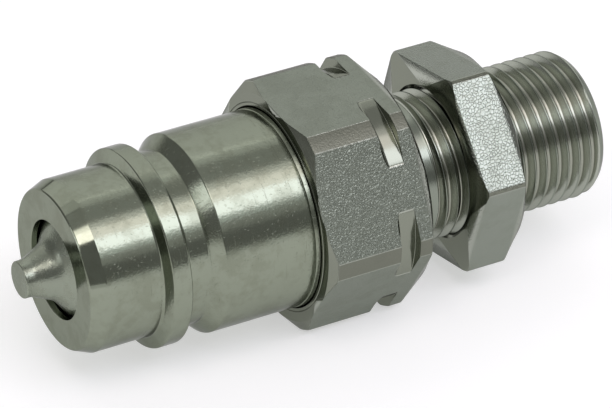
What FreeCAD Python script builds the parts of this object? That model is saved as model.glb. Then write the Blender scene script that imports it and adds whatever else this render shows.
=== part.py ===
import FreeCAD, Part
import math
import os

# Hydraulic quick coupling plug, poppet type with a locking groove, size 12.5, with a bulkhead stub.
# Millimetres. The axis of the plug is X: the nose points to -X and the tube end to +X.
# Every station below is measured along the axis from the nose's front face, positive towards the
# tube end. Z is up: the plug lies on one flat of the large hexagon.

# Clearances
RUNNING_CLEARANCE = 0.05
THREAD_CLEARANCE = 0.08
RING_CLEARANCE = 0.02
SEAT_CLEARANCE = 0.10

# Nose body, outside
NOSE_DIAMETER = 20.5
NOSE_FACE_DIAMETER = 19.1
FACE_BREAK = 0.15
LEAD_LENGTH = 1.85
LAND_LENGTH = 6.95
COLLAR_DIAMETER = 23.7
COLLAR_FLANK_LENGTH = 0.60
COLLAR_FOOT_RADIUS = 0.30
COLLAR_LENGTH = 2.25
COLLAR_FRONT_ROUNDING = 0.22
COLLAR_REAR_ROUNDING = 0.30
GROOVE_DIAMETER = 20.6
GROOVE_LENGTH = 2.45
GROOVE_FRONT_LENGTH = 0.55
GROOVE_RAMP_ANGLE = 45.0
GROOVE_FOOT_RADIUS = 0.30
GROOVE_RAMP_ROUNDING = 0.30
BODY_DIAMETER = 23.7
BODY_LENGTH = 11.15
SCORE_LINE_WIDTH = 0.16
SCORE_LINE_DEPTH = 0.10
NECK_GAP = 0.40

# Joint between the nose body and the adapter
NECK_CLEARANCE = 0.45
NECK_LENGTH = 2.05
SEAL_GROOVE_DIAMETER = 20.6
SEAL_GROOVE_LENGTH = 3.20
SEAL_GROOVE_WALL = 0.80
COUNTERBORE_DIAMETER = 24.6
NECK_DIAMETER = COUNTERBORE_DIAMETER - 2 * NECK_CLEARANCE
COUNTERBORE_MOUTH_DIAMETER = 25.1
COUNTERBORE_MOUTH_LENGTH = 0.90
JOINT_THREAD_DIAMETER = 21.9
JOINT_THREAD_LENGTH = 6.40
THREAD_END_BREAK = 0.60
BACKUP_THICKNESS = 1.10

# Nose body, inside
MOUTH_DIAMETER = 11.8
MOUTH_LENGTH = 0.75
SEAT_ANGLE = 45.0
CHAMBER_DIAMETER = 16.6
GUIDE_SHOULDER_HEIGHT = 0.60
GUIDE_BORE_DIAMETER = CHAMBER_DIAMETER + 2 * GUIDE_SHOULDER_HEIGHT
GUIDE_SHOULDER = 22.0
SNAP_GROOVE_DEPTH = 0.60
SNAP_GROOVE_DIAMETER = GUIDE_BORE_DIAMETER + 2 * SNAP_GROOVE_DEPTH
SNAP_RING_THICKNESS = 1.10
SNAP_RING_LIP = 0.90
SNAP_RING_INNER_DIAMETER = GUIDE_BORE_DIAMETER - 2 * SNAP_RING_LIP
SNAP_RING_OPENING = 4.0

# Adapter with the large hexagon and the bulkhead stub
HEX_ACROSS_FLATS = 27.0
HEX_CORNER_DIAMETER = 30.0
HEX_LENGTH = 14.3
HEX_FRONT_FACE_DIAMETER = 26.7
HEX_REAR_FACE_DIAMETER = 26.16
HEX_CHAMFER_ANGLE = 30.0
NOTCH_FLOOR_DIAMETER = 27.52
NOTCH_FROM_PANEL_FACE = 2.70
NOTCH_FLOOR_LENGTH = 1.85
NOTCH_BLEND = 0.65
STUB_THREAD_DIAMETER = 17.84
RELIEF_DEPTH = 0.42
RELIEF_DIAMETER = STUB_THREAD_DIAMETER - 2 * RELIEF_DEPTH
RELIEF_LENGTH = 3.15
STUB_THREAD_LENGTH = 21.40
STUB_ROOT_DEPTH = 0.60
STUB_END_CHAMFER = 0.82
STUB_END_DIAMETER = STUB_THREAD_DIAMETER - 2 * STUB_END_CHAMFER
STUB_END_LENGTH = 1.05
CONE_MOUTH_DIAMETER = 14.0
CONE_HALF_ANGLE = 12.0
TUBE_BORE_DIAMETER = 12.0
TUBE_BORE_DEPTH = 7.0
FLOW_BORE_DIAMETER = 10.0
FLOW_FUNNEL_DIAMETER = 16.0
FLOW_FUNNEL_LENGTH = 1.80

# Lock nut
NUT_ACROSS_FLATS = 24.0
NUT_THICKNESS = 6.0
NUT_FROM_PANEL_FACE = 7.05
NUT_TURN = -14.5
NUT_FRONT_FACE_DIAMETER = 26.8
NUT_FRONT_CHAMFER = 0.30
NUT_CORNER_DIAMETER = NUT_FRONT_FACE_DIAMETER + 2 * NUT_FRONT_CHAMFER
NUT_REAR_FACE_DIAMETER = 23.8
NUT_COUNTERSINK = 0.75

# Poppet: head, seal and stem
POPPET_PROTRUSION = 4.35
TIP_DIAMETER = 4.4
TIP_EDGE_BREAK = 0.25
HEAD_FRONT_STATION = 0.95
HEAD_FRONT_CLEARANCE = 0.30
HEAD_FRONT_DIAMETER = MOUTH_DIAMETER - 2 * HEAD_FRONT_CLEARANCE
FLARE_RIM = 0.45
FLARE_RADIUS = (HEAD_FRONT_DIAMETER - TIP_DIAMETER) / 2 - FLARE_RIM
HEAD_LIP_LENGTH = 0.50
HEAD_SPIGOT_DIAMETER = 8.4
HEAD_TAIL_DIAMETER = 4.0
HEAD_TAIL_LENGTH = 5.0
SEAT_COVER = 1.10
POPPET_SEAL_DIAMETER = MOUTH_DIAMETER + 2 * SEAT_COVER
POPPET_SEAL_LENGTH = 1.45
FLANGE_MARGIN = 0.20
STEM_FLANGE_DIAMETER = POPPET_SEAL_DIAMETER + 2 * FLANGE_MARGIN
STEM_FLANGE_LENGTH = 1.50
STEM_FLANGE_BREAK = 0.30
SPRING_BOSS_LENGTH = 2.0
STEM_DIAMETER = 6.0
STEM_OVERHANG = 2.0
STEM_END_BREAK = 0.50

# Valve spring and guide
SPRING_WIRE_DIAMETER = 1.2
SPRING_MEAN_DIAMETER = 10.8
SPRING_TURNS = 7.0
SPRING_INNER_CLEARANCE = 0.50
SPRING_BOSS_DIAMETER = SPRING_MEAN_DIAMETER - SPRING_WIRE_DIAMETER - 2 * SPRING_INNER_CLEARANCE
GUIDE_RING_LENGTH = 3.0
GUIDE_RING_WALL = 1.15
GUIDE_HUB_DIAMETER = SPRING_BOSS_DIAMETER
GUIDE_HUB_FRONT = 2.0
GUIDE_HUB_REAR = 7.0
GUIDE_ARM_COUNT = 3
GUIDE_ARM_WIDTH = 2.2
GUIDE_ARM_LENGTH = 4.5

# Radii worked out from the diameters
NOSE_RADIUS = NOSE_DIAMETER / 2
NOSE_FACE_RADIUS = NOSE_FACE_DIAMETER / 2
COLLAR_RADIUS = COLLAR_DIAMETER / 2
GROOVE_RADIUS = GROOVE_DIAMETER / 2
BODY_RADIUS = BODY_DIAMETER / 2
NECK_RADIUS = NECK_DIAMETER / 2
SEAL_GROOVE_RADIUS = SEAL_GROOVE_DIAMETER / 2
COUNTERBORE_RADIUS = COUNTERBORE_DIAMETER / 2
JOINT_THREAD_RADIUS = JOINT_THREAD_DIAMETER / 2
MOUTH_RADIUS = MOUTH_DIAMETER / 2
CHAMBER_RADIUS = CHAMBER_DIAMETER / 2
GUIDE_BORE_RADIUS = GUIDE_BORE_DIAMETER / 2
SNAP_GROOVE_RADIUS = SNAP_GROOVE_DIAMETER / 2
STUB_RADIUS = STUB_THREAD_DIAMETER / 2
FLOW_RADIUS = FLOW_BORE_DIAMETER / 2
TUBE_RADIUS = TUBE_BORE_DIAMETER / 2
STEM_RADIUS = STEM_DIAMETER / 2

# Stations of the nose body
LAND_START = LEAD_LENGTH
LAND_END = LAND_START + LAND_LENGTH
COLLAR_START = LAND_END + COLLAR_FLANK_LENGTH
COLLAR_END = COLLAR_START + COLLAR_LENGTH
GROOVE_START = COLLAR_END + GROOVE_FRONT_LENGTH
GROOVE_END = GROOVE_START + GROOVE_LENGTH
GROOVE_RAMP_LENGTH = (BODY_RADIUS - GROOVE_RADIUS) / math.tan(math.radians(GROOVE_RAMP_ANGLE))
BODY_START = GROOVE_END + GROOVE_RAMP_LENGTH
BODY_END = BODY_START + BODY_LENGTH
SEAL_GROOVE_START = BODY_END + NECK_LENGTH
SEAL_GROOVE_END = SEAL_GROOVE_START + SEAL_GROOVE_LENGTH
JOINT_THREAD_START = SEAL_GROOVE_END + SEAL_GROOVE_WALL
BODY_REAR = JOINT_THREAD_START + JOINT_THREAD_LENGTH
SEAT_LENGTH = (CHAMBER_RADIUS - MOUTH_RADIUS) / math.tan(math.radians(SEAT_ANGLE))
SEAT_END = MOUTH_LENGTH + SEAT_LENGTH

# Stations of the adapter
HEX_FRONT = BODY_END + NECK_GAP
PANEL_FACE = HEX_FRONT + HEX_LENGTH
THREAD_START = PANEL_FACE + RELIEF_LENGTH + RELIEF_DEPTH
THREAD_END = THREAD_START + STUB_THREAD_LENGTH
STUB_END = THREAD_END + STUB_END_LENGTH
CONE_LENGTH = (CONE_MOUTH_DIAMETER - TUBE_BORE_DIAMETER) / 2 / math.tan(math.radians(CONE_HALF_ANGLE))
TUBE_STOP = STUB_END - TUBE_BORE_DEPTH
COUNTERBORE_END = JOINT_THREAD_START + RUNNING_CLEARANCE

# Stations of the nut
NUT_FRONT = PANEL_FACE + NUT_FROM_PANEL_FACE
NUT_REAR = NUT_FRONT + NUT_THICKNESS

# Stations of the guide and its ring
GUIDE_RING_END = GUIDE_SHOULDER + GUIDE_RING_LENGTH
SNAP_RING_START = GUIDE_RING_END
SNAP_RING_END = SNAP_RING_START + SNAP_RING_THICKNESS
HUB_FRONT = GUIDE_SHOULDER - GUIDE_HUB_FRONT
HUB_REAR = GUIDE_SHOULDER + GUIDE_HUB_REAR

# Stations of the poppet
TIP_STATION = -POPPET_PROTRUSION
LIP_END = HEAD_FRONT_STATION + HEAD_LIP_LENGTH
FLANGE_FRONT = LIP_END + POPPET_SEAL_LENGTH
FLANGE_REAR = FLANGE_FRONT + STEM_FLANGE_LENGTH
BOSS_END = FLANGE_REAR + SPRING_BOSS_LENGTH
STEM_END = HUB_REAR + STEM_OVERHANG

# The origin lies on the axis, half way along the nose's sealing land
ORIGIN_STATION = LAND_START + LAND_LENGTH / 2

X_AXIS = FreeCAD.Vector(1, 0, 0)


def point(station, radius):
    """Return the point of a half section at a station and a radius."""
    return FreeCAD.Vector(station - ORIGIN_STATION, 0, radius)


def rounded_corner(before, corner, after, radius):
    """Return the start, middle and end of the arc that rounds a corner."""
    towards_before = (before - corner).normalize()
    towards_after = (after - corner).normalize()
    half_angle = towards_before.getAngle(towards_after) / 2
    reach = radius / math.tan(half_angle)
    bisector = (towards_before + towards_after).normalize()
    centre = corner + bisector * (radius / math.sin(half_angle))
    return corner + towards_before * reach, centre - bisector * radius, corner + towards_after * reach


def half_section(corners):
    """Make a closed face from corners given as (station, radius) or (station, radius, rounding)."""
    count = len(corners)
    points = [point(corner[0], corner[1]) for corner in corners]
    edges = []
    starts = []
    ends = []
    for index, corner in enumerate(corners):
        rounding = corner[2] if len(corner) == 3 else 0.0
        if rounding:
            arc = rounded_corner(points[index - 1], points[index], points[(index + 1) % count], rounding)
            edges.append(Part.Arc(*arc).toShape())
            starts.append(arc[0])
            ends.append(arc[2])
        else:
            starts.append(points[index])
            ends.append(points[index])
    for index in range(count):
        following = (index + 1) % count
        if (ends[index] - starts[following]).Length > 1e-6:
            edges.append(Part.makeLine(ends[index], starts[following]))
    return Part.Face(Part.Wire(Part.sortEdges(edges)[0]))


def turned(corners):
    """Turn a half section about the axis of the plug."""
    return half_section(corners).revolve(FreeCAD.Vector(0, 0, 0), X_AXIS, 360)


def hexagon_bar(across_flats, front, rear, turn):
    """Make a bar of hexagonal section, with one flat up before it is turned about the axis."""
    corner_radius = across_flats / 2 / math.cos(math.radians(30))
    corners = []
    for index in range(7):
        angle = math.radians(60 * index + turn)
        corners.append(FreeCAD.Vector(front - ORIGIN_STATION, corner_radius * math.cos(angle),
                                      corner_radius * math.sin(angle)))
    face = Part.Face(Part.makePolygon(corners))
    return face.extrude(X_AXIS * (rear - front))


def chamfered_blank(front, rear, front_radius, rear_radius, largest_radius, angle):
    """Make the turned blank whose two cones cut the corners of a hexagon."""
    rise = math.tan(math.radians(angle))
    front_run = (largest_radius - front_radius) * rise
    rear_run = (largest_radius - rear_radius) * rise
    return turned([
        (front, 0), (front, front_radius), (front + front_run, largest_radius),
        (rear - rear_run, largest_radius), (rear, rear_radius), (rear, 0),
    ])


def make_nose_body():
    """Make the nose body: sealing land, locking collar, groove, valve seat and guide bore."""
    outside = [
        (0, MOUTH_RADIUS),
        (0, NOSE_FACE_RADIUS - FACE_BREAK),
        (FACE_BREAK, NOSE_FACE_RADIUS),
        (LAND_START, NOSE_RADIUS),
        (LAND_END, NOSE_RADIUS, COLLAR_FOOT_RADIUS),
        (COLLAR_START, COLLAR_RADIUS, COLLAR_FRONT_ROUNDING),
        (COLLAR_END, COLLAR_RADIUS, COLLAR_REAR_ROUNDING),
        (GROOVE_START, GROOVE_RADIUS, GROOVE_FOOT_RADIUS),
        (GROOVE_END, GROOVE_RADIUS, GROOVE_FOOT_RADIUS),
        (BODY_START, BODY_RADIUS, GROOVE_RAMP_ROUNDING),
        (BODY_END - SCORE_LINE_WIDTH / 2, BODY_RADIUS),
        (BODY_END, BODY_RADIUS - SCORE_LINE_DEPTH),
        (BODY_END + SCORE_LINE_WIDTH / 2, NECK_RADIUS),
        (SEAL_GROOVE_START, NECK_RADIUS),
        (SEAL_GROOVE_START, SEAL_GROOVE_RADIUS),
        (SEAL_GROOVE_END, SEAL_GROOVE_RADIUS),
        (SEAL_GROOVE_END, NECK_RADIUS),
        (JOINT_THREAD_START, NECK_RADIUS),
        (JOINT_THREAD_START, JOINT_THREAD_RADIUS),
        (BODY_REAR - THREAD_END_BREAK, JOINT_THREAD_RADIUS),
        (BODY_REAR, JOINT_THREAD_RADIUS - THREAD_END_BREAK),
    ]
    inside = [
        (BODY_REAR, GUIDE_BORE_RADIUS),
        (SNAP_RING_END, GUIDE_BORE_RADIUS),
        (SNAP_RING_END, SNAP_GROOVE_RADIUS),
        (SNAP_RING_START, SNAP_GROOVE_RADIUS),
        (SNAP_RING_START, GUIDE_BORE_RADIUS),
        (GUIDE_SHOULDER, GUIDE_BORE_RADIUS),
        (GUIDE_SHOULDER, CHAMBER_RADIUS),
        (SEAT_END, CHAMBER_RADIUS),
        (MOUTH_LENGTH, MOUTH_RADIUS),
    ]
    return turned(outside + inside)


def make_bulkhead_adapter():
    """Make the adapter: hexagon with turned corners and corner groove, stub and tube connection."""
    blank = chamfered_blank(HEX_FRONT, PANEL_FACE, HEX_FRONT_FACE_DIAMETER / 2,
                            HEX_REAR_FACE_DIAMETER / 2, HEX_CORNER_DIAMETER / 2, HEX_CHAMFER_ANGLE)
    hexagon = hexagon_bar(HEX_ACROSS_FLATS, HEX_FRONT, PANEL_FACE, 0).common(blank)
    notch_rear = PANEL_FACE - NOTCH_FROM_PANEL_FACE
    notch_front = notch_rear - NOTCH_FLOOR_LENGTH - NOTCH_BLEND
    floor = NOTCH_FLOOR_DIAMETER / 2
    beyond = HEX_ACROSS_FLATS
    notch = turned([
        (notch_front, beyond), (notch_front, floor, NOTCH_BLEND), (notch_rear, floor), (notch_rear, beyond),
    ])
    stub = turned([
        (PANEL_FACE - STUB_ROOT_DEPTH, 0),
        (PANEL_FACE - STUB_ROOT_DEPTH, RELIEF_DIAMETER / 2),
        (THREAD_START - RELIEF_DEPTH, RELIEF_DIAMETER / 2),
        (THREAD_START, STUB_RADIUS),
        (THREAD_END, STUB_RADIUS),
        (STUB_END, STUB_END_DIAMETER / 2),
        (STUB_END, 0),
    ])
    passage = turned([
        (HEX_FRONT, 0),
        (HEX_FRONT, COUNTERBORE_MOUTH_DIAMETER / 2),
        (HEX_FRONT + COUNTERBORE_MOUTH_LENGTH, COUNTERBORE_RADIUS),
        (COUNTERBORE_END, COUNTERBORE_RADIUS),
        (COUNTERBORE_END, JOINT_THREAD_RADIUS + RUNNING_CLEARANCE),
        (BODY_REAR, JOINT_THREAD_RADIUS + RUNNING_CLEARANCE),
        (BODY_REAR, FLOW_FUNNEL_DIAMETER / 2),
        (BODY_REAR + FLOW_FUNNEL_LENGTH, FLOW_RADIUS),
        (TUBE_STOP, FLOW_RADIUS),
        (TUBE_STOP, TUBE_RADIUS),
        (STUB_END - CONE_LENGTH, TUBE_RADIUS),
        (STUB_END, CONE_MOUTH_DIAMETER / 2),
        (STUB_END, 0),
    ])
    return hexagon.cut(notch).fuse(stub).cut(passage).removeSplitter()


def make_lock_nut():
    """Make the lock nut that clamps the panel, chamfered on its outer side."""
    bore = STUB_RADIUS + THREAD_CLEARANCE
    blank = chamfered_blank(NUT_FRONT, NUT_REAR, NUT_FRONT_FACE_DIAMETER / 2,
                            NUT_REAR_FACE_DIAMETER / 2, NUT_CORNER_DIAMETER / 2, HEX_CHAMFER_ANGLE)
    hexagon = hexagon_bar(NUT_ACROSS_FLATS, NUT_FRONT, NUT_REAR, NUT_TURN).common(blank)
    hole = turned([
        (NUT_FRONT, 0),
        (NUT_FRONT, bore + NUT_COUNTERSINK),
        (NUT_FRONT + NUT_COUNTERSINK, bore),
        (NUT_REAR - NUT_COUNTERSINK, bore),
        (NUT_REAR, bore + NUT_COUNTERSINK),
        (NUT_REAR, 0),
    ])
    return hexagon.cut(hole)


def poppet_cone_radius(station):
    """Return the radius of the poppet's closing cone, which stays clear of the seat's cone."""
    slope = math.tan(math.radians(SEAT_ANGLE))
    gap = SEAT_CLEARANCE / math.cos(math.radians(SEAT_ANGLE))
    return MOUTH_RADIUS + (station - MOUTH_LENGTH) * slope - gap


def make_poppet_head():
    """Make the poppet's head: round tip, flare, closing lip, spigot and tail."""
    tip = TIP_DIAMETER / 2
    return turned([
        (TIP_STATION, 0),
        (TIP_STATION, tip - TIP_EDGE_BREAK),
        (TIP_STATION + TIP_EDGE_BREAK, tip),
        (HEAD_FRONT_STATION, tip, FLARE_RADIUS),
        (HEAD_FRONT_STATION, HEAD_FRONT_DIAMETER / 2),
        (LIP_END, poppet_cone_radius(LIP_END)),
        (LIP_END, HEAD_SPIGOT_DIAMETER / 2),
        (FLANGE_FRONT, HEAD_SPIGOT_DIAMETER / 2),
        (FLANGE_FRONT, HEAD_TAIL_DIAMETER / 2),
        (FLANGE_FRONT + HEAD_TAIL_LENGTH, HEAD_TAIL_DIAMETER / 2),
        (FLANGE_FRONT + HEAD_TAIL_LENGTH, 0),
    ])


def make_poppet_seal():
    """Make the moulded ring that closes on the seat, held between the head and the stem's flange."""
    inner = HEAD_SPIGOT_DIAMETER / 2 + RING_CLEARANCE
    outer = POPPET_SEAL_DIAMETER / 2
    start = poppet_cone_radius(LIP_END)
    slope = math.tan(math.radians(SEAT_ANGLE))
    return turned([
        (LIP_END, inner),
        (LIP_END, start),
        (LIP_END + (outer - start) / slope, outer),
        (FLANGE_FRONT, outer),
        (FLANGE_FRONT, inner),
    ])


def make_poppet_stem():
    """Make the stem: flange behind the seal, boss that centres the spring, and guided rod."""
    flange = STEM_FLANGE_DIAMETER / 2
    socket = HEAD_TAIL_DIAMETER / 2 + RING_CLEARANCE
    socket_end = FLANGE_FRONT + HEAD_TAIL_LENGTH
    return turned([
        (FLANGE_FRONT, socket),
        (FLANGE_FRONT, flange - STEM_FLANGE_BREAK),
        (FLANGE_FRONT + STEM_FLANGE_BREAK, flange),
        (FLANGE_REAR - STEM_FLANGE_BREAK, flange),
        (FLANGE_REAR, flange - STEM_FLANGE_BREAK),
        (FLANGE_REAR, SPRING_BOSS_DIAMETER / 2),
        (BOSS_END, SPRING_BOSS_DIAMETER / 2),
        (BOSS_END, STEM_RADIUS),
        (STEM_END - STEM_END_BREAK, STEM_RADIUS),
        (STEM_END, STEM_RADIUS - STEM_END_BREAK),
        (STEM_END, 0),
        (socket_end, 0),
        (socket_end, socket),
    ])


def make_valve_spring():
    """Make the spring as one wire, with both ends ground flat on the flange and the guide."""
    length = GUIDE_SHOULDER - FLANGE_REAR
    wire = SPRING_WIRE_DIAMETER / 2
    mean = SPRING_MEAN_DIAMETER / 2
    pitch = length / SPRING_TURNS
    helix = Part.makeHelix(pitch, length, mean)
    section = Part.Wire(Part.makeCircle(wire, FreeCAD.Vector(mean, 0, 0), FreeCAD.Vector(0, 1, 0)))
    coil = Part.Wire(helix.Edges).makePipeShell([section], True, True)
    coil.rotate(FreeCAD.Vector(0, 0, 0), FreeCAD.Vector(0, 1, 0), 90)
    coil.translate(point(FLANGE_REAR, 0))
    between_seats = turned([
        (FLANGE_REAR, 0), (FLANGE_REAR, CHAMBER_RADIUS),
        (GUIDE_SHOULDER, CHAMBER_RADIUS), (GUIDE_SHOULDER, 0),
    ])
    return coil.common(between_seats)


def make_valve_guide():
    """Make the guide: a hub around the stem, carried in the body by a ring and arms."""
    bore = STEM_RADIUS + RUNNING_CLEARANCE
    outer = GUIDE_BORE_RADIUS - RUNNING_CLEARANCE
    ring = turned([
        (GUIDE_SHOULDER, outer - GUIDE_RING_WALL), (GUIDE_SHOULDER, outer),
        (GUIDE_RING_END, outer), (GUIDE_RING_END, outer - GUIDE_RING_WALL),
    ])
    hub = turned([
        (HUB_FRONT, 0), (HUB_FRONT, GUIDE_HUB_DIAMETER / 2),
        (HUB_REAR, GUIDE_HUB_DIAMETER / 2), (HUB_REAR, 0),
    ])
    guide = ring.fuse(hub)
    arm_reach = outer - GUIDE_RING_WALL / 2
    for index in range(GUIDE_ARM_COUNT):
        arm = Part.makeBox(GUIDE_ARM_LENGTH, GUIDE_ARM_WIDTH, arm_reach,
                           point(GUIDE_SHOULDER, 0) - FreeCAD.Vector(0, GUIDE_ARM_WIDTH / 2, 0))
        arm.rotate(FreeCAD.Vector(0, 0, 0), X_AXIS, 360 / GUIDE_ARM_COUNT * index)
        guide = guide.fuse(arm)
    beyond_ring = turned([
        (GUIDE_RING_END, SNAP_RING_INNER_DIAMETER / 2 - 2 * RUNNING_CLEARANCE), (GUIDE_RING_END, outer),
        (HUB_REAR, outer), (HUB_REAR, SNAP_RING_INNER_DIAMETER / 2 - 2 * RUNNING_CLEARANCE),
    ])
    stem_bore = turned([(HUB_FRONT, 0), (HUB_FRONT, bore), (HUB_REAR, bore), (HUB_REAR, 0)])
    return guide.cut(beyond_ring).cut(stem_bore).removeSplitter()


def make_guide_snap_ring():
    """Make the open ring that holds the guide against its shoulder."""
    outer = SNAP_GROOVE_RADIUS - RUNNING_CLEARANCE
    ring = turned([
        (SNAP_RING_START, SNAP_RING_INNER_DIAMETER / 2), (SNAP_RING_START, outer),
        (SNAP_RING_END, outer), (SNAP_RING_END, SNAP_RING_INNER_DIAMETER / 2),
    ])
    opening = Part.makeBox(SNAP_RING_THICKNESS, SNAP_RING_OPENING, SNAP_GROOVE_DIAMETER,
                           point(SNAP_RING_START, 0) - FreeCAD.Vector(0, SNAP_RING_OPENING / 2, 0))
    opening.rotate(FreeCAD.Vector(0, 0, 0), X_AXIS, 180)
    return ring.cut(opening)


def make_joint_o_ring():
    """Make the round-section ring that seals the nose body in the adapter."""
    section = (COUNTERBORE_RADIUS - SEAL_GROOVE_RADIUS) / 2 - RING_CLEARANCE
    centre = FreeCAD.Vector(SEAL_GROOVE_START + section + RING_CLEARANCE - ORIGIN_STATION, 0, 0)
    return Part.makeTorus(SEAL_GROOVE_RADIUS + section + RING_CLEARANCE, section, centre, X_AXIS)


def make_joint_backup_ring():
    """Make the flat ring that keeps the round-section ring out of the thread's gap."""
    front = SEAL_GROOVE_END - BACKUP_THICKNESS
    inner = SEAL_GROOVE_RADIUS + RING_CLEARANCE
    outer = COUNTERBORE_RADIUS - RING_CLEARANCE
    return turned([(front, inner), (front, outer), (SEAL_GROOVE_END, outer), (SEAL_GROOVE_END, inner)])


MAKERS = {
    "nose_body": make_nose_body,
    "bulkhead_adapter": make_bulkhead_adapter,
    "lock_nut": make_lock_nut,
    "poppet_head": make_poppet_head,
    "poppet_seal": make_poppet_seal,
    "poppet_stem": make_poppet_stem,
    "valve_spring": make_valve_spring,
    "valve_guide": make_valve_guide,
    "guide_snap_ring": make_guide_snap_ring,
    "joint_o_ring": make_joint_o_ring,
    "joint_backup_ring": make_joint_backup_ring,
}


def main():
    """Write each piece to its own file."""
    os.makedirs("parts", exist_ok=True)
    for name, make in MAKERS.items():
        shape = make()
        shape.exportStep("parts/" + name + ".step")
        print(name, "valid", shape.isValid(), "solids", len(shape.Solids), "volume", round(shape.Volume, 2))
    stations = {
        "panel face": PANEL_FACE,
        "thread start": THREAD_START,
        "nut rear": NUT_REAR,
        "tube stop": TUBE_STOP,
        "thread end": THREAD_END,
    }
    for name, station in stations.items():
        print(name, "x", round(station - ORIGIN_STATION, 3))


main()
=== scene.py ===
import logging
import math
from dataclasses import dataclass, field
from enum import Enum
from typing import Any, ClassVar, Sequence

import bmesh
import bpy
import numpy as np
from mathutils import Matrix, Vector


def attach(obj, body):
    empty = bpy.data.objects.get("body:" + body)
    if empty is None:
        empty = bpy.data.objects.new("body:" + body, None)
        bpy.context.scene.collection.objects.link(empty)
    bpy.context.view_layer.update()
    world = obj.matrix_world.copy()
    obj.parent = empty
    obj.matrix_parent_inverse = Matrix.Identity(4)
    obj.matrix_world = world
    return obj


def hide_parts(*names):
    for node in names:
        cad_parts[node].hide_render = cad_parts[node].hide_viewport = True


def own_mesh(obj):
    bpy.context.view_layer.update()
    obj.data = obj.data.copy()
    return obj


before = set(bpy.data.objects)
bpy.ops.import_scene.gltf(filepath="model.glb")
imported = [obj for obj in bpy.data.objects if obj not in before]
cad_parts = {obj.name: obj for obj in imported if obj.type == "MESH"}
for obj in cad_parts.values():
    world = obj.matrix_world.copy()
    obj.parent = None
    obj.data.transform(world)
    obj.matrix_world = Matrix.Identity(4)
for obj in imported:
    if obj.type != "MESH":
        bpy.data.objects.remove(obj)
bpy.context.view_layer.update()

MM = 0.001
PER_METRE = 1000
LOG = logging.getLogger("coupling_plug")
Triple = tuple[float, float, float]
Corners = Sequence[Triple]


# Numbers that the pieces share, in millimetres along the frame

STUB_END_X = 62.745
FLOOR_Z = -13.5

# Limits of a profile's roundings: the least radius, the most that a corner may straighten, the
# share of a side that an arc may take, and where the support points beside an arc lie

SHARP = 0.03
STRAIGHT = 0.999999
ARC_SHARE = 0.96
SIDE_SHARE = 0.5
SUPPORT_SHARE = 0.35
SUPPORT_ROOM = 0.25

# What the steels share: how dark their grazing edges get, and the parts of a pattern's range that
# make stains and scratches

EDGE_TINT = (0.58, 0.58, 0.58)
STAINED = (0.42, 0.62)
SCRATCHED = (0.69, 0.72)
ROUND_AXIS = (1, 0.012, 0.012)


class Body(Enum):
    """The bodies that pieces ride on."""

    HOUSING = "housing"
    POPPET = "poppet"
    NUT = "lock_nut"


# Profiles and surfaces

def rounded_profile(corners: Corners, closed: bool = True, steps: int = 6) -> np.ndarray:
    """Round every corner of a half section with an arc tangent to both of its sides.

    At a corner the arc's centre lies on the bisector, radius / sin(half angle) away. The arc's
    points are blended from its start to its end as on a circle. One support point lies on each side
    of every arc.

    Args:
        corners: (station, radius, rounding) of each corner, in millimetres.
        closed: whether the last corner joins the first. An open profile keeps its two ends.
        steps: number of pieces that each arc is made of.

    Returns:
        The points of the profile, one row of station and radius each.
    """
    table = np.asarray(corners, float)
    place, rounding = table[:, :2], np.maximum(table[:, 2], SHARP)
    before = np.roll(place, 1, 0) - place
    after = np.roll(place, -1, 0) - place
    length_before = np.linalg.norm(before, axis=1)
    length_after = np.linalg.norm(after, axis=1)
    before = before / length_before[:, None]
    after = after / length_after[:, None]
    half = np.arccos(np.clip((before * after).sum(1), -STRAIGHT, STRAIGHT)) / 2
    wanted = rounding / np.tan(half)
    room = np.minimum(length_before - np.roll(wanted, 1), length_after - np.roll(wanted, -1))
    least_room = SIDE_SHARE * np.minimum(length_before, length_after)
    reach = np.minimum(wanted, ARC_SHARE * np.maximum(room, least_room))
    rounding = reach * np.tan(half)
    bisector = before + after
    bisector = bisector / np.linalg.norm(bisector, axis=1)[:, None]
    centre = place + bisector * (rounding / np.sin(half))[:, None]
    start, end = place + before * reach[:, None], place + after * reach[:, None]
    turn = (math.pi - 2 * half)[:, None, None]
    share = np.linspace(0, 1, steps + 1)[None, :, None]
    arc = centre[:, None] + (
        np.sin((1 - share) * turn) * (start - centre)[:, None]
        + np.sin(share * turn) * (end - centre)[:, None]
    ) / np.sin(turn)
    free_before = length_before - reach - np.roll(reach, 1)
    free_after = length_after - reach - np.roll(reach, -1)
    free = np.minimum(free_before, free_after)
    support = SUPPORT_SHARE * np.clip(free, 0, SUPPORT_ROOM)[:, None]
    lead = (start + before * support)[:, None]
    trail = (end + after * support)[:, None]
    points = np.concatenate([lead, arc, trail], 1)
    if closed:
        return points.reshape(-1, 2)
    middle = points[1:-1].reshape(-1, 2)
    return np.concatenate([place[:1], middle, place[-1:]])


def grid_faces(rows: int, columns: int, wrap_rows: bool, wrap_columns: bool) -> np.ndarray:
    """Number the four-cornered faces of a grid of points.

    Args:
        rows: number of rows of points.
        columns: number of points in each row.
        wrap_rows: whether the last row joins the first.
        wrap_columns: whether the last point of a row joins its first.

    Returns:
        The faces, one row of four point numbers each.
    """
    number = np.arange(rows * columns).reshape(rows, columns)
    number = np.concatenate([number, number[:1]], 0) if wrap_rows else number
    number = np.concatenate([number, number[:, :1]], 1) if wrap_columns else number
    corners = number[:-1, :-1], number[:-1, 1:], number[1:, 1:], number[1:, :-1]
    return np.stack([corner.ravel() for corner in corners], 1)


def around_axis(station: np.ndarray, radius: np.ndarray, angle: np.ndarray) -> np.ndarray:
    """Place points at a station, a radius and an angle from +Y towards +Z, in metres."""
    place = np.broadcast_arrays(station, radius * np.cos(angle), radius * np.sin(angle))
    return np.stack(place, -1).reshape(-1, 3) * MM


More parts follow.
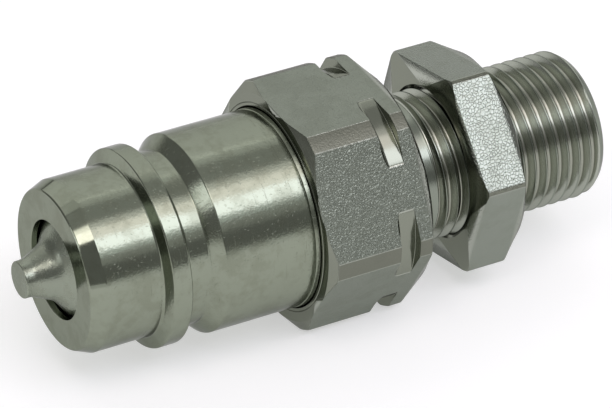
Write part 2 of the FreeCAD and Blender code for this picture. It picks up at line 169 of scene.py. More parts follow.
@dataclass
class Surface:
    """A closed mesh: its points in metres, its faces, and the numbers that its finish reads.

    Shade and strip hold one number per point. What they mean is up to the finish.
    """

    points: np.ndarray
    faces: np.ndarray
    shade: np.ndarray
    strip: np.ndarray | None = None

    @classmethod
    def turned(cls, profile: np.ndarray, steps: int) -> "Surface":
        """Turn a closed half section about the axis: station stays, radius goes round the angle.

        Args:
            profile: the points of the half section.
            steps: number of divisions round the axis.

        Returns:
            The closed ring.
        """
        angle = np.linspace(0, 2 * math.pi, steps, endpoint=False)
        points = around_axis(profile[:, :1], profile[:, 1:], angle[None])
        faces = grid_faces(len(profile), steps, True, True)
        return cls(points, faces, np.ones(len(points)))

    def piece(self, name: str, material: bpy.types.Material,
              weld: float = 1e-6) -> bpy.types.Object:
        """Make a Blender object of the surface, smooth, closed and facing outwards.

        Args:
            name: name of the piece.
            material: finish of the piece.
            weld: distance in metres below which points are made one.

        Returns:
            The object, at the origin.
        """
        mesh = bpy.data.meshes.new(name)
        mesh.from_pydata(self.points.tolist(), [], self.faces.tolist())
        for label, numbers in (("shade", self.shade), ("strip", self.strip)):
            if numbers is not None:
                attribute = mesh.attributes.new(label, "FLOAT", "POINT")
                attribute.data.foreach_set("value", numbers.astype(np.float32))
        worked = bmesh.new()
        worked.from_mesh(mesh)
        bmesh.ops.remove_doubles(worked, verts=worked.verts, dist=weld)
        bmesh.ops.dissolve_degenerate(worked, edges=worked.edges, dist=weld)
        bmesh.ops.recalc_face_normals(worked, faces=worked.faces)
        worked.to_mesh(mesh)
        worked.free()
        mesh.polygons.foreach_set("use_smooth", np.ones(len(mesh.polygons), bool))
        mesh.materials.append(material)
        mesh.update()
        made = bpy.data.objects.new(name, mesh)
        bpy.context.scene.collection.objects.link(made)
        return made


# Shader sums

class Value:
    """A shader socket that can be used in sums: each operator adds the node that works it out."""

    def __init__(self, sheet: "NodeSheet", socket: bpy.types.NodeSocket) -> None:
        """Keep the sheet and the socket."""
        self.sheet, self.socket = sheet, socket

    def __add__(self, other: Any) -> "Value":
        """Add."""
        return self.sheet.maths("ADD", self, other)

    def __sub__(self, other: Any) -> "Value":
        """Subtract."""
        return self.sheet.maths("SUBTRACT", self, other)

    def __rsub__(self, other: Any) -> "Value":
        """Subtract this from the other."""
        return self.sheet.maths("SUBTRACT", other, self)

    def __mul__(self, other: Any) -> "Value":
        """Multiply."""
        return self.sheet.maths("MULTIPLY", self, other)

    __radd__ = __add__
    __rmul__ = __mul__


class NodeSheet:
    """The node tree of one material, with short ways to add nodes."""

    def __init__(self, name: str) -> None:
        """Start an empty node tree under a new material.

        Args:
            name: name of the material.
        """
        self.material = bpy.data.materials.new(name)
        self.material.use_nodes = True
        self.tree = self.material.node_tree
        self.tree.nodes.clear()

    def node(self, kind: str, settings: dict[str, Any] | None = None,
             **inputs: Any) -> bpy.types.Node:
        """Add one node, set it up and feed its sockets.

        Args:
            kind: type of the node.
            settings: the node's own settings, such as a sum's operation.
            inputs: value or link of each socket, by its name with underscores, or by s and its
                number.

        Returns:
            The node.
        """
        made = self.tree.nodes.new(kind)
        for key, value in (settings or {}).items():
            setattr(made, key, value)
        for key, value in inputs.items():
            numbered = key[0] == "s" and key[1:].isdigit()
            socket = made.inputs[int(key[1:]) if numbered else key.replace("_", " ")]
            self.feed(socket, value)
        return made

    def feed(self, socket: bpy.types.NodeSocket, value: Any) -> None:
        """Link a value to a socket, or set the socket to a number or a colour.

        Args:
            socket: the socket.
            value: another node's output, a number or a colour.
        """
        if isinstance(value, Value):
            self.tree.links.new(value.socket, socket)
        elif isinstance(value, tuple) and len(value) == 3 and socket.type == "RGBA":
            socket.default_value = (*value, 1)
        else:
            socket.default_value = value

    def out(self, made: bpy.types.Node, name: str | int = 0) -> Value:
        """Give one output of a node as a value."""
        return Value(self, made.outputs[name])

    def maths(self, operation: str, *values: Any) -> Value:
        """Work out one step of a sum with a Math node."""
        fed = {f"s{index}": value for index, value in enumerate(values)}
        return self.out(self.node("ShaderNodeMath", {"operation": operation}, **fed))

    def between(self, value: Value, low: float, high: float) -> Value:
        """Give 0 below low, 1 above high, and a smooth step from one to the other."""
        settings = {"interpolation_type": "SMOOTHSTEP"}
        return self.out(self.node("ShaderNodeMapRange", settings, s0=value, s1=low, s2=high))

    def blend(self, factor: Any, first: Any, second: Any) -> Value:
        """Mix two colours, which are the node's sockets 6 and 7, into its output 2."""
        made = self.node("ShaderNodeMix", {"data_type": "RGBA"}, s0=factor, s6=first, s7=second)
        return self.out(made, 2)

    def place(self, stretch: Triple = (1, 1, 1), turn: Triple = (0, 0, 0)) -> Value:
        """Give the place on the piece, in metres, turned and with each direction stretched.

        Args:
            stretch: factor of each direction.
            turn: angles about X, Y and Z in radians, taken first.

        Returns:
            The place.
        """
        turned = self.out(self.node("ShaderNodeTexCoord"), "Object")
        if any(turn):
            turned = self.out(self.node("ShaderNodeMapping", None, Vector=turned, Rotation=turn))
        return self.out(self.node("ShaderNodeMapping", None, Vector=turned, Scale=stretch))

    def noise(self, size: float, detail: float = 2.0, stretch: Triple = (1, 1, 1),
              rough: float = 0.5, turn: Triple = (0, 0, 0)) -> Value:
        """Give a soft pattern of patches, from 0 to 1, that is the same on each run.

        Args:
            size: width of a patch in millimetres.
            detail: number of finer patterns that are added.
            stretch: factor of each direction; a small one draws the patches out along it.
            rough: how strong the finer patterns are.
            turn: angles in radians by which the pattern is turned.

        Returns:
            The pattern.
        """
        made = self.node("ShaderNodeTexNoise", None, Vector=self.place(stretch, turn),
                         Scale=PER_METRE / size, Detail=detail, Roughness=rough)
        return self.out(made)

    def grains(self, size: float, feature: str = "F1") -> Value:
        """Give a pattern of separate grains, about this many millimetres across."""
        made = self.node("ShaderNodeTexVoronoi", {"feature": feature}, Vector=self.place(),
                         Scale=PER_METRE / size)
        return self.out(made)

    def attribute(self, name: str) -> Value:
        """Give a number that the mesh holds for each of its points."""
        return self.out(self.node("ShaderNodeAttribute", {"attribute_name": name}), "Fac")

    def bump(self, height: Value, depth: float, under: Value | None = None) -> Value:
        """Raise the surface by a height from 0 to 1 times a depth.

        Args:
            height: the height.
            depth: the depth in millimetres.
            under: the bump that this one lies on, if any.

        Returns:
            The direction that the raised surface faces.
        """
        made = self.node("ShaderNodeBump", None, Height=height, Distance=depth * MM, Strength=1.0)
        if under is not None:
            self.feed(made.inputs["Normal"], under)
        return self.out(made)

    def finish(self, **inputs: Any) -> bpy.types.Material:
        """End the tree in a shader.

        Args:
            inputs: value or link of each of the shader's sockets.

        Returns:
            The material.
        """
        shader = self.node("ShaderNodeBsdfPrincipled", None, **inputs)
        self.node("ShaderNodeOutputMaterial", None, Surface=self.out(shader))
        return self.material


# Finishes: sizes and depths in millimetres

@dataclass(frozen=True)
class TurnedSteel:
    """Zinc plated steel with fine lathe rings, blotches, grains, scratches and scored lines.

    Where the surface's shade is 0 it is polished: smoother, with no grains and no scratches.
    """

    name: str = "turned_steel"
    colour: Triple = (0.254, 0.280, 0.219)
    dull_colour: Triple = (0.196, 0.212, 0.158)
    dull_share: float = 0.5
    roughness: float = 0.11
    uneven_roughness: float = 0.06
    polished_share: float = 0.55
    ring_size: float = 0.10
    ring_depth: float = 0.0016
    wave_size: float = 0.8
    wave_depth: float = 0.004
    speckle_size: float = 0.26
    speckle_depth: float = 0.0085
    stain_size: float = 2.6
    scratch_size: float = 0.26
    scratch_turn: Triple = (0.0, 0.5, 0.4)
    score_size: float = 0.20
    scratch_depth: float = 0.0060

    def build(self) -> bpy.types.Material:
        """Build the material.

        Returns:
            The material.
        """
        sheet = NodeSheet(self.name)
        worked = sheet.attribute("shade")
        rings = sheet.noise(self.ring_size, 3, ROUND_AXIS, 0.6)
        waves = sheet.noise(self.wave_size, 2, (1, 0.03, 0.03))
        speckle = sheet.noise(self.speckle_size, 2)
        stain = sheet.between(sheet.noise(self.stain_size, 4, rough=0.65), *STAINED)
        scratches = sheet.noise(self.scratch_size, 1, (0.10, 1, 1), turn=self.scratch_turn)
        scores = sheet.noise(self.score_size, 1, (1, 0.06, 0.06))
        cuts = sheet.between(scratches, *SCRATCHED) + sheet.between(scores, *SCRATCHED)
        normal = sheet.bump(rings, self.ring_depth)
        normal = sheet.bump(waves, self.wave_depth, normal)
        normal = sheet.bump(speckle * worked, self.speckle_depth, normal)
        normal = sheet.bump(cuts * worked, self.scratch_depth, normal)
        rough = rings * self.uneven_roughness + stain * self.uneven_roughness + self.roughness
        smoothed = worked * (1 - self.polished_share) + self.polished_share
        return sheet.finish(
            Base_Color=sheet.blend(stain * self.dull_share, self.colour, self.dull_colour),
            Metallic=1.0, Roughness=rough * smoothed, Normal=normal, Specular_Tint=EDGE_TINT,
        )


@dataclass(frozen=True)
class HexagonSteel:
    """Zinc plated hexagon stock: grained flats, turned chamfers and corners, painted highlight on
    edges.

    The surface's shade is 0 on a flat, 1 where it is turned and between on an edge, and its strip
    is 1 on the outer corners, which are darkened with painted shade.
    """

    name: str = "hexagon_steel"
    colour: Triple = (0.246, 0.270, 0.226)
    dull_colour: Triple = (0.214, 0.234, 0.192)
    dull_share: float = 0.4
    corner_colour: Triple = (0.225, 0.240, 0.196)
    strip_shade_colour: Triple = (0.172, 0.180, 0.146)
    edge_highlight_colour: Triple = (0.40, 0.42, 0.37)
    grain_size: float = 0.24
    grain_depth: float = 0.105
    strip_smoothing: float = 0.7
    cell_size: float = 0.45
    cell_edge: float = 0.16
    cell_depth: float = 0.0
    dimple_size: float = 1.1
    dimple_range: tuple[float, float] = (0.02, 0.10)
    dimple_depth: float = 0.012
    drawn_size: float = 0.5
    drawn_depth: float = 0.003
    ring_size: float = 0.12
    ring_depth: float = 0.002
    stain_size: float = 3.0
    flat_roughness: float = 0.37
    turned_roughness: float = 0.14
    stain_roughness: float = 0.05

    def build(self) -> bpy.types.Material:
        """Build the material. An edge is 4 x shade x (1 - shade), which is 1 half way.

        Returns:
            The material.
        """
        sheet = NodeSheet(self.name)
        shade, strip = sheet.attribute("shade"), sheet.attribute("strip")
        flat = 1 - shade
        edge = shade * flat * 4
        grain = sheet.noise(self.grain_size, 1)
        cells = sheet.grains(self.cell_size, "DISTANCE_TO_EDGE")
        dimples = sheet.grains(self.dimple_size)
        drawn = sheet.noise(self.drawn_size, 2, (0.05, 1, 1))
        rings = sheet.noise(self.ring_size, 2, ROUND_AXIS)
        stain = sheet.between(sheet.noise(self.stain_size, 4, rough=0.6), *STAINED)
        colour = sheet.blend(stain * self.dull_share, self.colour, self.dull_colour)
        colour = sheet.blend(flat, self.corner_colour, colour)
        # Painted shade: the outer corner strips are darkened, standing in for the highlight that
        # they don't catch.
        colour = sheet.blend(strip, colour, self.strip_shade_colour)
        # Painted highlight: the edges between flats and turned parts get a lighter colour, standing
        # in for the glints of rounded edges.
        colour = sheet.blend(edge, colour, self.edge_highlight_colour)
        normal = sheet.bump(grain * flat * (1 - strip * self.strip_smoothing), self.grain_depth)
        cells = sheet.between(cells, 0.0, self.cell_edge)
        normal = sheet.bump(cells * flat, self.cell_depth, normal)
        dimples = sheet.between(dimples, *self.dimple_range)
        normal = sheet.bump(dimples * flat, self.dimple_depth, normal)
        normal = sheet.bump(drawn * flat, self.drawn_depth, normal)
        normal = sheet.bump(rings * (1 - flat), self.ring_depth, normal)
        rough = flat * (self.flat_roughness - self.turned_roughness) + self.turned_roughness
        return sheet.finish(
            Base_Color=colour, Metallic=1.0, Roughness=rough + stain * self.stain_roughness,
            Normal=normal, Specular_Tint=EDGE_TINT,
        )


@dataclass(frozen=True)
class ThreadSteel:
    """Zinc plated thread: painted light on flanks, painted shade in roots, crests in turned steel's
    colour.

    The surface's shade is 1 on a crest and 0 at a root.
    """

    name: str = "thread_steel"
    crest_colour: Triple = (0.235, 0.258, 0.215)
    flank_light_colour: Triple = (0.39, 0.41, 0.355)
    root_shade_colour: Triple = (0.30, 0.31, 0.26)
    root_shade_range: tuple[float, float] = (0.1, 0.6)
    crest_range: tuple[float, float] = (0.88, 0.99)
    blotch_size: float = 2.5
    blotch_share: float = 0.2
    streak_size: float = 0.12
    streak_depth: float = 0.002
    grain_size: float = 0.3
    grain_depth: float = 0.003
    roughness: float = 0.18
    uneven_roughness: float = 0.08

    def build(self) -> bpy.types.Material:
        """Build the material.

        Returns:
            The material.
        """
        sheet = NodeSheet(self.name)
        shade = sheet.attribute("shade")
        blotches = sheet.noise(self.blotch_size, 3)
        streaks = sheet.noise(self.streak_size, 2, (1, 0.05, 0.05))
        flank = sheet.between(shade + blotches * self.blotch_share, *self.root_shade_range)
        crest = sheet.between(shade, *self.crest_range)
        # Painted light and shade: by depth in the thread, the colour is paler on the flanks and
        # darker in the roots.
        colour = sheet.blend(flank, self.root_shade_colour, self.flank_light_colour)
        normal = sheet.bump(streaks, self.streak_depth)
        normal = sheet.bump(sheet.noise(self.grain_size, 2), self.grain_depth, normal)
        return sheet.finish(
            Base_Color=sheet.blend(crest, colour, self.crest_colour), Metallic=1.0,
            Roughness=blotches * self.uneven_roughness + self.roughness, Normal=normal,
            Specular_Tint=EDGE_TINT,
        )


@dataclass(frozen=True)
class PlainMetal:
    """A plain metal with fine grain, for the parts inside the valve."""

    name: str
    colour: Triple
    roughness: float
    grain_size: float = 0.25
    grain_depth: float = 0.003
    patch_size: float = 2.5
    patch_level: float = 0.72
    uneven_roughness: float = 0.12

    def build(self) -> bpy.types.Material:
        """Build the material.

        Returns:
            The material.
        """
        sheet = NodeSheet(self.name)
        grain = sheet.noise(self.grain_size, 3)
        patches = sheet.noise(self.patch_size, 2)
        dull = tuple(self.patch_level * level for level in self.colour)
        return sheet.finish(
            Base_Color=sheet.blend(patches, self.colour, dull), Metallic=1.0,
            Roughness=patches * self.uneven_roughness + self.roughness,
            Normal=sheet.bump(grain, self.grain_depth),
        )


@dataclass(frozen=True)
class Moulding:
    """Rubber or plastic with a faint moulded texture."""

    name: str
    colour: Triple
    roughness: float
    grain_size: float = 0.15
    grain_depth: float = 0.008
    patch_size: float = 2.0
    patch_level: float = 1.35
    patch_lift: float = 0.01
    uneven_roughness: float = 0.15

    def build(self) -> bpy.types.Material:
        """Build the material.

        Returns:
            The material.
        """
        sheet = NodeSheet(self.name)
        grain = sheet.noise(self.grain_size, 2)
        patches = sheet.noise(self.patch_size, 2)
        pale = tuple(min(1.0, self.patch_level * level + self.patch_lift) for level in self.colour)
        return sheet.finish(
            Base_Color=sheet.blend(patches, self.colour, pale), Metallic=0.0,
            Roughness=patches * self.uneven_roughness + self.roughness,
            Normal=sheet.bump(grain, self.grain_depth),
        )


# Hexagons

@dataclass
class HexagonRows:
    """Rows of a hexagon whose corners are turned off, worked out from its turned outline.

    A row belongs to one point of the outline, at a station and a turned radius. Round the axis the
    surface lies at the smaller of that radius and flat distance / cos(angle from the flat's
    middle), with the two blended softly where they meet. The grid's lines follow the edge between
    flat and turned corner.
    """

    flat_distance: float
    turn: float
    softness: float = 0.04
    flat_lines: int = 9
    strip_lines: int = 12
    edge_step: float = 0.010
    edge_room: float = 2.5
    edge_cluster: tuple[float, ...] = (-2.0, -0.8, -0.45, -0.15, 0.15, 0.45, 0.8, 2.0)
    corner_margin: float = 0.09

    def surface(self, profile: np.ndarray) -> Surface:
        """Make the closed surface.

        Args:
            profile: closed outline of the half section: station and turned radius of each row.

        Returns:
            The surface. Its shade is 0 on flats and outer corners, 1 on turned parts and between on
            edges, and its strip is 1 on the outer corners.
        """
        radius = profile[:, 1:]
        sixth = math.pi / 6
        edge = np.arccos(np.minimum(1.0, self.flat_distance / radius))
        step = np.minimum(self.edge_step, (sixth - edge) / 3)
        edge = np.maximum(edge, self.edge_room * step)
        cluster = np.array(self.edge_cluster)
        reach = cluster[-1] * step
        flat = np.linspace(0, 1, self.flat_lines)[None, :-1] * (edge - reach)
        strip = np.linspace(0, 1, self.strip_lines)[None, 1:] * (sixth - edge - reach)
        half = np.concatenate([flat, edge + cluster * step, edge + reach + strip], 1)
        sector = np.concatenate([-half[:, :0:-1], half[:, :-1]], 1)
        middles = math.radians(30 + self.turn) + np.arange(6) * math.pi / 3
        angle = (middles[None, :, None] + sector[:, None, :]).reshape(len(profile), -1)
        flat_radius = self.flat_distance / np.cos(np.tile(sector, (1, 6)))
        apart = np.maximum(self.softness - np.abs(flat_radius - radius), 0) / self.softness
        shaped = np.minimum(flat_radius, radius) - apart ** 2 * self.softness / 4
        points = around_axis(profile[:, :1], shaped, angle)
        shade = np.clip((flat_radius - radius) / self.softness + 0.5, 0, 1)
        outer = radius > radius.max() - self.corner_margin
        strip = np.where(outer, shade, 0).ravel()
        shade = np.where(outer, np.minimum(shade, 1 - shade), shade).ravel()
        return Surface(points, grid_faces(*angle.shape, True, True), shade, strip)


# Sub-assemblies: sizes in millimetres, and each corner's station, radius and rounding

@dataclass
class NoseBody:
    """The turned nose body, with its sealing land, locking collar, groove and valve seat."""

    outside: Corners = (
        (-5.325, 5.90, 0.10), (-5.325, 9.40, 0.08), (-5.175, 9.55, 0.10), (-3.475, 10.25, 0.25),
        (3.475, 10.25, 0.30), (4.075, 11.85, 0.22), (6.325, 11.85, 0.30), (6.875, 10.30, 0.30),
        (9.325, 10.30, 0.30), (10.875, 11.85, 0.30), (21.925, 11.85, 0.04), (22.025, 11.72, 0.02),
        (22.105, 11.90, 0.04), (22.60, 11.98, 0.04), (22.70, 11.85, 0.05), (24.075, 11.85, 0.05),
        (24.075, 10.30, 0.10), (27.275, 10.30, 0.10), (27.275, 11.85, 0.05), (28.075, 11.85, 0.05),
        (28.075, 10.95, 0.05), (33.875, 10.95, 0.05), (34.475, 10.35, 0.05),
    )
    inside: Corners = (
        (34.475, 8.90, 0.05), (20.775, 8.90, 0.03), (20.775, 9.50, 0.03), (19.675, 9.50, 0.03),
        (19.675, 8.90, 0.03), (16.675, 8.90, 0.03), (16.675, 8.30, 0.03), (-2.175, 8.30, 0.10),
        (-4.575, 5.90, 0.10),
    )
    columns: int = 256
    cone_end: float = -3.40
    cone_radius: float = 9.50
    steel: TurnedSteel = TurnedSteel()

    def build(self) -> list[bpy.types.Object]:
        """Build the nose body, its lead-in cone polished, and let it stand for its solid.

        Returns:
            The piece.
        """
        profile = rounded_profile((*self.outside, *self.inside))
        surface = Surface.turned(profile, self.columns)
        lead_in = (profile[:, 0] < self.cone_end) & (profile[:, 1] > self.cone_radius)
        surface.shade = np.repeat(np.where(lead_in, 0.0, 1.0), self.columns)
        made = surface.piece("turned_nose_body", self.steel.build())
        return [settle(made, Body.HOUSING, "nose_body")]


@dataclass
class PoppetHead:
    """The poppet's head, with its round tip and flare. Its profile starts and ends on the axis."""

    corners: Corners = (
        (-9.675, 0.0, 0), (-9.675, 2.20, 0.18), (-8.70, 2.20, 2.6), (-5.85, 3.50, 3.0),
        (-4.375, 5.60, 0.06), (-3.875, 6.4586, 0.05), (-3.875, 4.20, 0.03), (-2.425, 4.20, 0.03),
        (-2.425, 2.00, 0.03), (2.575, 2.00, 0.05), (2.575, 0.0, 0),
    )
    columns: int = 160
    arc_steps: int = 14
    steel: TurnedSteel = TurnedSteel(
        "poppet_steel", colour=(0.262, 0.288, 0.232), dull_colour=(0.215, 0.23, 0.18),
        roughness=0.22, ring_size=0.14, ring_depth=0.003, speckle_size=0.20, speckle_depth=0.022,
    )

    def build(self) -> list[bpy.types.Object]:
        """Build the head and let it stand for its solid.

        Returns:
            The piece.
        """
        profile = rounded_profile(self.corners, closed=False, steps=self.arc_steps)
        angle = np.linspace(0, 2 * math.pi, self.columns, endpoint=False)
        points = around_axis(profile[:, :1], profile[:, 1:], angle[None])
        faces = grid_faces(len(profile), self.columns, False, True)
        surface = Surface(points, faces, np.ones(len(points)))
        made = surface.piece("turned_poppet_head", self.steel.build())
        return [settle(made, Body.POPPET, "poppet_head")]


@dataclass
class BulkheadAdapter:
    """The adapter: hexagon with turned corners and corner notches, and the threaded stub."""

    flat_distance: float = 13.498
    outline: Corners = (
        (22.65, 12.10, 0.04), (22.65, 12.45, 0.03), (22.73, 12.52, 0.02), (22.65, 12.60, 0.06),
        (22.65, 13.74, 0.06), (23.378, 14.99, 0.12), (31.525, 14.99, 0.10), (31.525, 13.76, 0.65),
        (34.025, 13.76, 0.08), (34.025, 14.99, 0.10), (35.617, 14.99, 0.12), (36.725, 13.08, 0.08),
        (36.725, 5.00, 0.03), (36.275, 5.00, 0.05), (34.475, 8.00, 0.05), (34.475, 11.00, 0.05),
        (28.125, 11.00, 0.05), (28.125, 12.30, 0.05), (23.00, 12.30, 0.05),
    )
    stub_outside: Sequence[tuple[float, float]] = (
        (39.60, 8.50), (39.875, 8.50), (40.295, 8.92), (61.695, 8.92), (62.655, 8.17),
        (STUB_END_X, 8.06),
    )
    stub_inside: Corners = (
        (STUB_END_X, 8.06, 0.0), (62.745, 7.00, 0.08), (58.040, 6.00, 0.05), (55.745, 6.00, 0.05),
        (55.745, 5.00, 0.05), (36.700, 5.00, 0.03), (36.700, 8.50, 0.03), (39.75, 8.50, 0.0),
    )
    pitch: float = 1.5
    crest_radius: float = 8.92
    crest_width: float = 0.11
    crest_x: float = 40.27
    flank_angle: float = 30.0
    thread_depth: float = 0.88
    root_start: float = 0.40
    root_drop: float = 0.02
    thread_start: float = 39.75
    run_in: float = 0.7
    run_out: float = 0.55
    run_out_end: float = 62.45
    section: tuple[float, ...] = (
        0, 0.028, 0.0367, 0.05, 0.14, 0.24, 0.33, 0.38, 0.43, 0.5,
        0.57, 0.62, 0.67, 0.76, 0.86, 0.95, 0.9633, 0.972,
    )
    columns: int = 160

    def build(self) -> list[bpy.types.Object]:
        """Build hexagon and stub and let them stand for the adapter's solid.

        Returns:
            The two pieces.
        """
        hexagon = HexagonRows(self.flat_distance, 0.0).surface(rounded_profile(self.outline))
        made = (hexagon.piece("notched_hexagon", HexagonSteel().build()),
                self.stub().piece("threaded_stub", ThreadSteel().build()))
        return [settle(piece, Body.HOUSING, "bulkhead_adapter")
                for piece in made]

    def thread_radius(self, turns: np.ndarray) -> np.ndarray:
        """Give the radius of the thread's section.

        It is flat at the crest, falls along straight flanks and is round at the root.

        Args:
            turns: the place along the thread, counted in pitches from a crest.

        Returns:
            The radius in millimetres.
        """
        away = np.abs(turns - np.round(turns)) * self.pitch
        slope = math.tan(math.radians(self.flank_angle))
        fall = np.clip((away - self.crest_width / 2) / slope, 0, self.thread_depth)
        root_width = (0.5 - self.root_start) * self.pitch
        root = np.maximum(0, away - self.root_start * self.pitch) / root_width
        return self.crest_radius - fall - self.root_drop * root ** 2

    def stub(self) -> Surface:
        """Make the stub: its thread's rows run along the helix, so crests and roots stay crisp.

        A row keeps its place in the thread's section; its station grows by one pitch each turn.
        Rows are held between the thread's two ends, where its depth fades out.

        Returns:
            The closed surface. Its shade is 1 on crests and plain parts and 0 at the roots.
        """
        first = math.floor((self.thread_start - self.crest_x) / self.pitch) - 1
        last = math.ceil((STUB_END_X - self.crest_x) / self.pitch) + 1
        turns = (np.arange(first, last)[:, None] + np.array(self.section)).reshape(-1, 1)
        angle = np.linspace(0, 2 * math.pi, self.columns + 1)[None]
        station = self.crest_x + self.pitch * (turns + angle / (2 * math.pi))
        station = np.clip(station, self.thread_start, STUB_END_X)
        blank = np.interp(station, *np.transpose(self.stub_outside))
        faded = (np.clip((station - self.thread_start) / self.run_in, 0, 1)
                 * np.clip((self.run_out_end - station) / self.run_out, 0, 1))
        depth = (self.crest_radius - self.thread_radius(turns)) * faded
        radius = np.minimum(blank, self.crest_radius - depth)
        shade = (1 - np.clip((blank - radius) / self.thread_depth, 0, 1)).ravel()
        outer = around_axis(station, radius, angle)
        outer_faces = grid_faces(*station.shape, False, False)
        profile = rounded_profile(self.stub_inside, closed=False)
        inner = around_axis(profile[:, :1], profile[:, 1:], angle)
        inner_faces = grid_faces(len(profile), self.columns + 1, False, False) + len(outer)
        return Surface(np.concatenate([outer, inner]), np.concatenate([outer_faces, inner_faces]),
                       np.concatenate([shade, np.ones(len(inner))]))


@dataclass
class LockNut:
    """The thin hexagon nut that clamps the panel."""

    flat_distance: float = 11.998
    turn: float = -14.5
    outline: Corners = (
        (43.775, 9.35, 0.06), (43.775, 13.40, 0.08), (43.948, 13.70, 0.08), (48.736, 13.70, 0.12),
        (49.775, 11.90, 0.10), (49.775, 9.75, 0.06), (49.025, 9.00, 0.06), (44.125, 9.00, 0.06),
    )
    steel: HexagonSteel = HexagonSteel(
        "nut_steel", colour=(0.252, 0.276, 0.236), grain_size=0.28, grain_depth=0.012,
        cell_size=0.40, cell_depth=0.010, flat_roughness=0.14,
    )

    def build(self) -> list[bpy.types.Object]:
        """Build the nut and let it stand for its solid.

        Returns:
            The piece.
        """
        surface = HexagonRows(self.flat_distance, self.turn).surface(rounded_profile(self.outline))
        made = surface.piece("grained_lock_nut", self.steel.build())
        return [settle(made, Body.NUT, "lock_nut")]


@dataclass
class ValveInside:
    """The parts inside the valve, which keep the shapes of their solids.

    The spring is a copy of its solid, with its points merged.
    """

    spring_end: float = 16.675
    poppet_travel: float = 6.0
    weld: float = 1e-7
    finishes: dict[str, PlainMetal | Moulding] = field(default_factory=lambda: {
        "poppet_seal": Moulding("seal_rubber", (0.025, 0.025, 0.025), 0.50),
        "poppet_stem": PlainMetal("stem_steel", (0.42, 0.43, 0.40), 0.24),
        "valve_spring": PlainMetal("spring_wire", (0.33, 0.33, 0.34), 0.28, 0.12),
        "valve_guide": PlainMetal("guide_steel", (0.40, 0.41, 0.39), 0.35),
        "guide_snap_ring": PlainMetal("ring_wire", (0.30, 0.30, 0.31), 0.30, 0.15),
        "joint_o_ring": Moulding("ring_rubber", (0.03, 0.03, 0.03), 0.45),
        "joint_backup_ring": Moulding("backup_plastic", (0.80, 0.79, 0.74), 0.45),
    })

    def build(self) -> list[bpy.types.Object]:
        """Give each solid its finish, and make the spring that stands for its solid.

        Returns:
            The solids and the spring.
        """
        made = []
        for node, finish in self.finishes.items():
            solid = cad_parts[node]
            solid.data.materials.clear()
            solid.data.materials.append(finish.build())
            made.append(self.spring(solid) if node == "valve_spring" else solid)
        return made

    def spring(self, solid: bpy.types.Object) -> bpy.types.Object:
        """Make a copy of the spring's solid, with its points merged, that rides on the housing.

        Args:
            solid: the spring's solid, already in its finish.

        Returns:
            The piece that stands for it.
        """
        mesh = solid.data.copy()
        merged = bmesh.new()
        merged.from_mesh(mesh)
        bmesh.ops.remove_doubles(merged, verts=merged.verts, dist=self.weld)
        merged.to_mesh(mesh)
        merged.free()
        made = bpy.data.objects.new("coiled_valve_spring", mesh)
        bpy.context.scene.collection.objects.link(made)
        settle(made, Body.HOUSING, "valve_spring")
        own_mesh(made)
        return made


def settle(made: bpy.types.Object, body: Body, node: str) -> bpy.types.Object:
    """Let a piece ride on its body and stand for its solid.

    Args:
        made: the piece.
        body: the body that it moves with.
        node: the solid that it stands for.

    Returns:
        The piece.
    """
    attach(made, body.value)
    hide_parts(node)
    return made


# Studio: metres

DOWN = (0.0, 0.0, -1.0)


@dataclass(frozen=True)
class SoftLight:
    """A flat soft light: where it hangs, its width and height, its level and where it faces.

    A light that faces down has its width along X and its height along Y.
    """

    name: str
    place: Triple
    width: float
    height: float
    level: float
    colour: Triple = (1, 1, 1)
    facing: Triple = DOWN
    along_x: ClassVar[float] = 0.7

    def build(self) -> None:
        """Hang the light; its power makes a mirror that shows it look as bright as its level."""
        data = bpy.data.lights.new(self.name, "AREA")
        data.shape, data.size, data.size_y = "RECTANGLE", self.width, self.height
        data.energy = self.level * math.pi * self.width * self.height
        data.color = self.colour
        lamp = bpy.data.objects.new(self.name, data)
        back = -Vector(self.facing).normalized()
        guide = Vector((0, 1, 0)) if abs(back.x) > self.along_x else Vector((1, 0, 0))
        across = (guide - back * back.dot(guide)).normalized()
        turn = Matrix((across, back.cross(across), back)).transposed()
        lamp.matrix_world = Matrix.Translation(self.place) @ turn.to_4x4()
        bpy.context.scene.collection.objects.link(lamp)


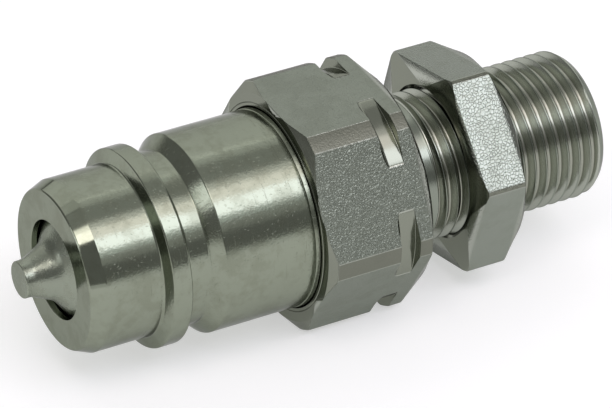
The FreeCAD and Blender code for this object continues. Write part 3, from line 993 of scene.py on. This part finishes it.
@dataclass
class Studio:
    """Floor with a raised rim, soft lights, world and camera."""

    focal_length: float = 276.0
    sensor_width: float = 36.0
    camera_place: Triple = (-0.19400, -0.38718, 0.31242)
    camera_right: Triple = (0.87768, -0.47839, 0.02863)
    camera_up: Triple = (0.25474, 0.51630, 0.81765)
    camera_back: Triple = (-0.40593, -0.71035, 0.57502)
    floor_radius: float = 2.3
    floor_rings: int = 24
    floor_columns: int = 96
    inner_ring: float = 0.2
    rim_start: float = 0.82
    rim_height: float = 0.17
    floor_level: float = 0.60
    floor_glow: float = 0.50
    world_level: float = 0.26
    lights: ClassVar[tuple[SoftLight, ...]] = (
        SoftLight("key_light", (0.38, -0.85, 1.10), 1.42, 0.52, 3.45, (0.90, 0.89, 1.0)),
        SoftLight("warm_strip", (0.08, -0.435, 1.10), 1.36, 0.31, 2.15, (1.0, 0.91, 0.94)),
        SoftLight("warm_edge", (0.08, -0.20, 1.10), 1.36, 0.16, 1.0, (1.0, 0.95, 0.98)),
        SoftLight("cool_edge", (0.36, -1.28, 1.10), 0.90, 0.34, 0.90, (0.90, 0.95, 1.0)),
        SoftLight("near_strip", (0.25, -1.82, 1.10), 1.70, 0.74, 0.28),
        SoftLight("top_strip", (0.10, 0.11, 1.10), 1.50, 0.46, 0.24),
        SoftLight("far_strip", (0.20, 0.52, 1.10), 1.40, 0.32, 0.58),
        SoftLight("nose_light", (-0.44, -0.355, 1.06), 0.35, 0.41, 2.0, (1.0, 0.92, 0.92)),
        SoftLight("flare_light", (-1.15, -0.50, 1.09), 0.80, 0.36, 2.2, (1.0, 0.97, 0.98)),
        SoftLight("back_light", (0.63, 1.263, 0.687), 2.6, 1.627, 0.76, (1.0, 0.99, 0.99),
                  (-0.36, -0.66, -0.66)),
        SoftLight("side_light", (-1.26, 0.04, 0.62), 0.50, 0.34, 2.2, (0.95, 0.95, 1.0),
                  (0.90, -0.03, -0.44)),
    )

    def build(self) -> None:
        """Build all of it."""
        self.floor()
        self.world()
        for light in self.lights:
            light.build()
        self.camera()

    def floor(self) -> None:
        """Make a round floor as a plain backdrop, whose rim rises with the square of its reach.

        It gives off a little light of its own, but only to what sees it straight or in a mirror.
        """
        share = np.concatenate([[0.0], np.linspace(self.inner_ring, 1, self.floor_rings)])
        reach = share * self.floor_radius
        rim = np.clip((reach / self.floor_radius - self.rim_start) / (1 - self.rim_start), 0, 1)
        angle = np.linspace(0, 2 * math.pi, self.floor_columns, endpoint=False)
        grid = np.broadcast_arrays(reach[:, None] * np.cos(angle), reach[:, None] * np.sin(angle),
                                   (self.rim_height * rim ** 2)[:, None] + FLOOR_Z * MM)
        mesh = bpy.data.meshes.new("floor")
        faces = grid_faces(len(reach), len(angle), False, True)
        mesh.from_pydata(np.stack(grid, -1).reshape(-1, 3).tolist(), [], faces.tolist())
        mesh.polygons.foreach_set("use_smooth", np.ones(len(mesh.polygons), bool))
        sheet = NodeSheet("floor_white")
        path = sheet.node("ShaderNodeLightPath")
        camera, glossy, through = (sheet.out(path, f"Is {ray} Ray")
                                   for ray in ("Camera", "Glossy", "Transmission"))
        seen = sheet.maths("MAXIMUM", sheet.maths("MAXIMUM", camera, glossy), through)
        sheet.finish(Base_Color=(self.floor_level,) * 3, Roughness=1.0, Specular_IOR_Level=0.0,
                     Emission_Color=(1.0, 1.0, 1.0), Emission_Strength=seen * self.floor_glow)
        mesh.materials.append(sheet.material)
        floor = bpy.data.objects.new("floor", mesh)
        bpy.context.scene.collection.objects.link(floor)

    def world(self) -> None:
        """Fill the rest of the room with an even grey."""
        world = bpy.data.worlds.new("room")
        world.use_nodes = True
        background = world.node_tree.nodes["Background"]
        background.inputs["Color"].default_value = (self.world_level,) * 3 + (1,)
        bpy.context.scene.world = world

    def camera(self) -> None:
        """Place the camera as it stood for the photograph."""
        data = bpy.data.cameras.new("camera")
        data.lens, data.sensor_width = self.focal_length, self.sensor_width
        data.clip_start, data.clip_end = 0.01, 20.0
        camera = bpy.data.objects.new("camera", data)
        turn = Matrix((self.camera_right, self.camera_up, self.camera_back)).transposed()
        camera.matrix_world = Matrix.Translation(self.camera_place) @ turn.to_4x4()
        bpy.context.scene.collection.objects.link(camera)
        bpy.context.scene.camera = camera


def main() -> None:
    """Build every sub-assembly in order and report each piece."""
    logging.basicConfig(level=logging.INFO, format="%(message)s")
    bpy.context.scene.view_settings.view_transform = "Standard"
    Studio().build()
    for part in (NoseBody(), PoppetHead(), BulkheadAdapter(), LockNut(), ValveInside()):
        for made in part.build():
            LOG.info("%s: %d faces", made.name, len(made.data.polygons))


if __name__ == "__main__":
    main()
